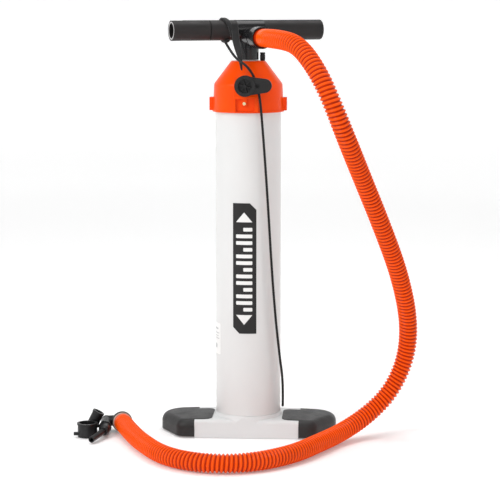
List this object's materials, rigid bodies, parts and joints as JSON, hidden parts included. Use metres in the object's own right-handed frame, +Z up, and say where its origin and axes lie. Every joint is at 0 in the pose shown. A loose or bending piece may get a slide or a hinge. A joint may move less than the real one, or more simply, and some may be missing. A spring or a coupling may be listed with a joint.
{
  "type": "double action hand pump",
  "caption": "Upright double action hand pump with a foot base, T handle on a hollow piston rod, corrugated hose to a floor nozzle with adapters, and a leash.",
  "frame": {"origin": "middle of the foot's footprint, on the floor, on the cylinder's axis", "axes": "+X along the foot to the right seen from the front, -Y to the front, +Z up along the cylinder and the stroke"},
  "size_m": [0.4731, 0.3087, 0.5761],
  "materials": {
    "white_shell": "satin moulded",
    "white_pipe": "smooth extruded",
    "pad_rubber": "grained",
    "steel": "bright",
    "brass": "bright",
    "inner_plastic": "moulded",
    "seal_rubber": "smooth",
    "panel_film": "printed film",
    "label_film": "printed film",
    "orange_shell": "satin moulded",
    "black_gloss": "polished moulded",
    "black_plastic": "moulded",
    "aluminium_tube": "extruded",
    "grip_cover": "fine grained",
    "orange_hose": "corrugated",
    "clear_band": "moulded",
    "leash_black": "braided",
    "webbing": "woven"
  },
  "bodies": {
    "barrel": {"base_moulding": "white_shell", "foot_pad_right": "pad_rubber", "foot_pad_left": "pad_rubber", "pad_screws": "steel", "barrel_tube": "white_pipe", "base_plug": "inner_plastic", "plug_seal": "seal_rubber", "intake_guide_screw": "steel", "lower_bumper": "seal_rubber", "graphic_panel": "panel_film", "side_label": "label_film", "cap_shell": "orange_shell", "cap_screws": "steel", "cap_latch": "orange_shell", "latch_screw": "brass", "cap_seal": "seal_rubber", "upper_bumper": "seal_rubber", "bumper_carrier": "inner_plastic", "guide_retainer": "inner_plastic"},
    "swivel": {"rod_guide": "inner_plastic", "wiper_seal": "seal_rubber", "hose_cuff_lower": "clear_band", "nozzle_flange": "black_plastic", "nozzle_elbow": "black_plastic", "nozzle_body": "black_plastic", "nozzle_tip": "black_plastic", "cup_adapter": "black_plastic", "short_adapter": "black_plastic", "adapter_tie": "black_plastic"},
    "handle": {"piston_rod": "aluminium_tube", "piston_body": "inner_plastic", "piston_seal_lower": "seal_rubber", "piston_seal_upper": "seal_rubber", "piston_nut": "steel", "rod_ring": "steel", "handle_hub": "black_gloss", "hub_pin": "steel", "port_ring": "black_gloss", "hose_cuff_upper": "orange_hose", "handle_tube_left": "aluminium_tube", "handle_tube_right": "aluminium_tube", "grip_left": "grip_cover", "end_sleeve_left": "grip_cover", "grip_right": "grip_cover", "end_cap_right": "grip_cover", "hose": "orange_hose", "leash_cord": "leash_black", "leash_strap": "webbing", "strap_tail": "webbing", "leash_adapter": "black_plastic"},
    "mode_plug": {"mode_plug": "black_plastic"},
    "intake_valve": {"intake_valve_disc": "seal_rubber"},
    "piston_valve": {"piston_valve_disc": "seal_rubber"}
  },
  "joints": [
    {"name": "handle_turn", "type": "hinge", "parent": "barrel", "child": "swivel", "pos_m": [0, 0, 0.506], "axis": [0, 0, 1], "continuous": true},
    {"name": "handle_stroke", "type": "slide", "parent": "swivel", "child": "handle", "axis": [0, 0, 1], "range_m": [0, 0.404], "deforming": ["hose"]},
    {"name": "mode_plug_turn", "type": "hinge", "parent": "barrel", "child": "mode_plug", "pos_m": [0.0196, 0, 0.516], "axis": [0, 0, 1], "range_deg": [0, 90]},
    {"name": "intake_valve_lift", "type": "slide", "parent": "barrel", "child": "intake_valve", "axis": [0, 0, 1], "range_m": [0, 0.002]},
    {"name": "piston_valve_lift", "type": "slide", "parent": "handle", "child": "piston_valve", "axis": [0, 0, 1], "range_m": [0, 0.002]}
  ]
}
